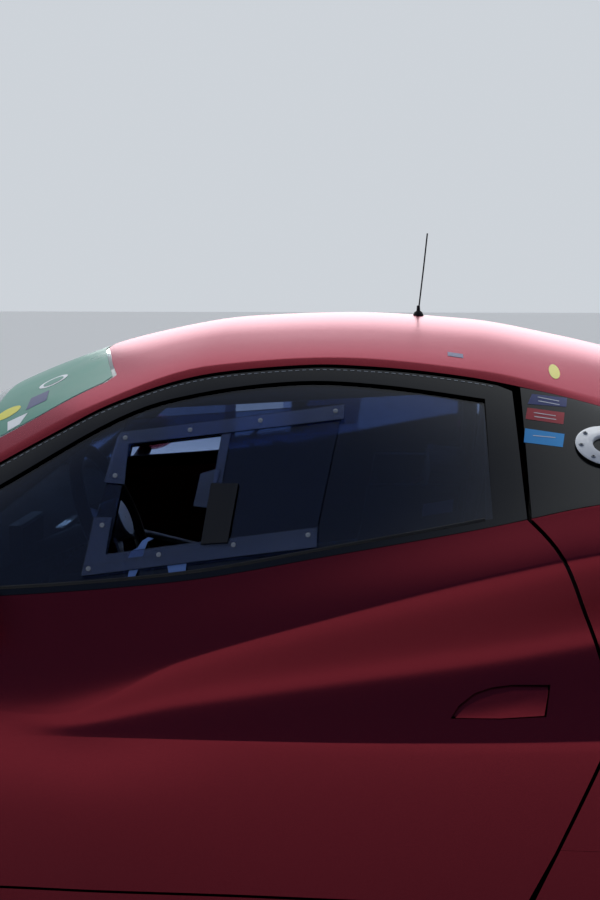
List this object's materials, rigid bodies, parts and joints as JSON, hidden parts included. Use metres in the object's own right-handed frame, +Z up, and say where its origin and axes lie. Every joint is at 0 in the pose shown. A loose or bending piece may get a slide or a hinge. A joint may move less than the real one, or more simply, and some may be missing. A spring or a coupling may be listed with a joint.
{
  "type": "race car",
  "caption": "Closed mid-engined circuit racing coupe with opening doors, bonnet and engine cover, steered front wheels and turning road wheels, roll cage and rear wing.",
  "frame": {"origin": "bottom centre of the whole car's bounding box, on the ground", "axes": "+X to the tail, -X to the nose, -Y to the car's left (the driver's side), +Z up"},
  "size_m": [4.56, 2.1974, 1.3914],
  "materials": {
    "satin_red_wrap": "satin wrap",
    "black_carbon": "clear coated carbon fibre",
    "clear_polycarbonate": "clear sheet",
    "black_plastic": "moulded",
    "tyre_rubber": "slick",
    "forged_rim": "dark painted",
    "painted_steel": "satin",
    "white_ring": "painted",
    "lamp_glass": "clear lens",
    "tail_red": "red lens",
    "cast_alloy": "cast",
    "seat_cloth": "woven"
  },
  "bodies": {
    "chassis": {"aerial": "black_plastic", "cowl": "black_plastic", "dashboard": "black_plastic", "diffuser": "black_carbon", "driver_seat": "seat_cloth", "engine": "cast_alloy", "exhaust": "painted_steel", "fender_front_l": "satin_red_wrap", "fender_front_r": "satin_red_wrap", "fender_rear_l": "satin_red_wrap", "fender_rear_r": "satin_red_wrap", "front_bumper": "satin_red_wrap", "front_splitter": "black_carbon", "front_suspension": "painted_steel", "fuel_filler": "white_ring", "headlamp_l": "lamp_glass", "headlamp_r": "lamp_glass", "quarter_panel_l": "black_plastic", "quarter_panel_r": "black_plastic", "rear_bumper": "satin_red_wrap", "rear_suspension": "painted_steel", "rear_wing": "black_carbon", "roll_cage": "painted_steel", "roof": "satin_red_wrap", "side_skirt_l": "satin_red_wrap", "side_skirt_r": "satin_red_wrap", "tail_lamp_l": "tail_red", "tail_lamp_r": "tail_red", "tub": "black_plastic", "windscreen": "clear_polycarbonate"},
    "door_left": {"door_l": "satin_red_wrap", "door_frame_l": "black_carbon", "side_window_l": "clear_polycarbonate", "window_slider_l": "clear_polycarbonate", "mirror_l": "satin_red_wrap"},
    "door_right": {"door_r": "satin_red_wrap", "door_frame_r": "black_carbon", "side_window_r": "clear_polycarbonate", "window_slider_r": "clear_polycarbonate", "mirror_r": "satin_red_wrap"},
    "bonnet": {"front_lid": "satin_red_wrap"},
    "engine_lid": {"engine_cover": "satin_red_wrap", "rear_window": "clear_polycarbonate"},
    "steer_left": {"knuckle_l": "cast_alloy"},
    "steer_right": {"knuckle_r": "cast_alloy"},
    "wheel_front_left": {"rim_front_l": "forged_rim", "tyre_front_l": "tyre_rubber"},
    "wheel_front_right": {"rim_front_r": "forged_rim", "tyre_front_r": "tyre_rubber"},
    "wheel_rear_left": {"rim_rear_l": "forged_rim", "tyre_rear_l": "tyre_rubber"},
    "wheel_rear_right": {"rim_rear_r": "forged_rim", "tyre_rear_r": "tyre_rubber"},
    "steering": {"steering_wheel": "black_plastic"}
  },
  "joints": [
    {"name": "door_left_hinge", "type": "hinge", "parent": "chassis", "child": "door_left", "pos_m": [-0.655, -0.965, 0.45], "axis": [0, 0, -1], "range_deg": [0, 65]},
    {"name": "door_right_hinge", "type": "hinge", "parent": "chassis", "child": "door_right", "pos_m": [-0.655, 0.965, 0.45], "axis": [0, 0, 1], "range_deg": [0, 65]},
    {"name": "bonnet_hinge", "type": "hinge", "parent": "chassis", "child": "bonnet", "pos_m": [-0.905, 0, 0.7918], "axis": [0, 1, 0], "range_deg": [0, 60]},
    {"name": "engine_lid_hinge", "type": "hinge", "parent": "chassis", "child": "engine_lid", "pos_m": [0.985, 0, 1.1288], "axis": [0, -1, 0], "range_deg": [0, 50]},
    {"name": "steer_left_turn", "type": "hinge", "parent": "chassis", "child": "steer_left", "pos_m": [-1.19, -0.728, 0.325], "axis": [0, 0, 1], "range_deg": [-26, 26]},
    {"name": "steer_right_turn", "type": "hinge", "parent": "chassis", "child": "steer_right", "pos_m": [-1.19, 0.728, 0.325], "axis": [0, 0, 1], "range_deg": [-26, 26]},
    {"name": "steering_wheel_turn", "type": "hinge", "parent": "chassis", "child": "steering", "pos_m": [-0.11, -0.37, 0.77], "axis": [-0.922, 0, -0.3872], "range_deg": [-210, 210]},
    {"name": "wheel_front_left_spin", "type": "hinge", "parent": "steer_left", "child": "wheel_front_left", "pos_m": [-1.19, -0.828, 0.325], "axis": [0, 1, 0], "continuous": true},
    {"name": "wheel_front_right_spin", "type": "hinge", "parent": "steer_right", "child": "wheel_front_right", "pos_m": [-1.19, 0.828, 0.325], "axis": [0, 1, 0], "continuous": true},
    {"name": "wheel_rear_left_spin", "type": "hinge", "parent": "chassis", "child": "wheel_rear_left", "pos_m": [1.46, -0.806, 0.345], "axis": [0, 1, 0], "continuous": true},
    {"name": "wheel_rear_right_spin", "type": "hinge", "parent": "chassis", "child": "wheel_rear_right", "pos_m": [1.46, 0.806, 0.345], "axis": [0, 1, 0], "continuous": true}
  ],
  "couplings": [
    {"joint": "steer_right_turn", "follows": "steer_left_turn", "ratio": 1},
    {"joint": "steering_wheel_turn", "follows": "steer_left_turn", "ratio": -8}
  ]
}
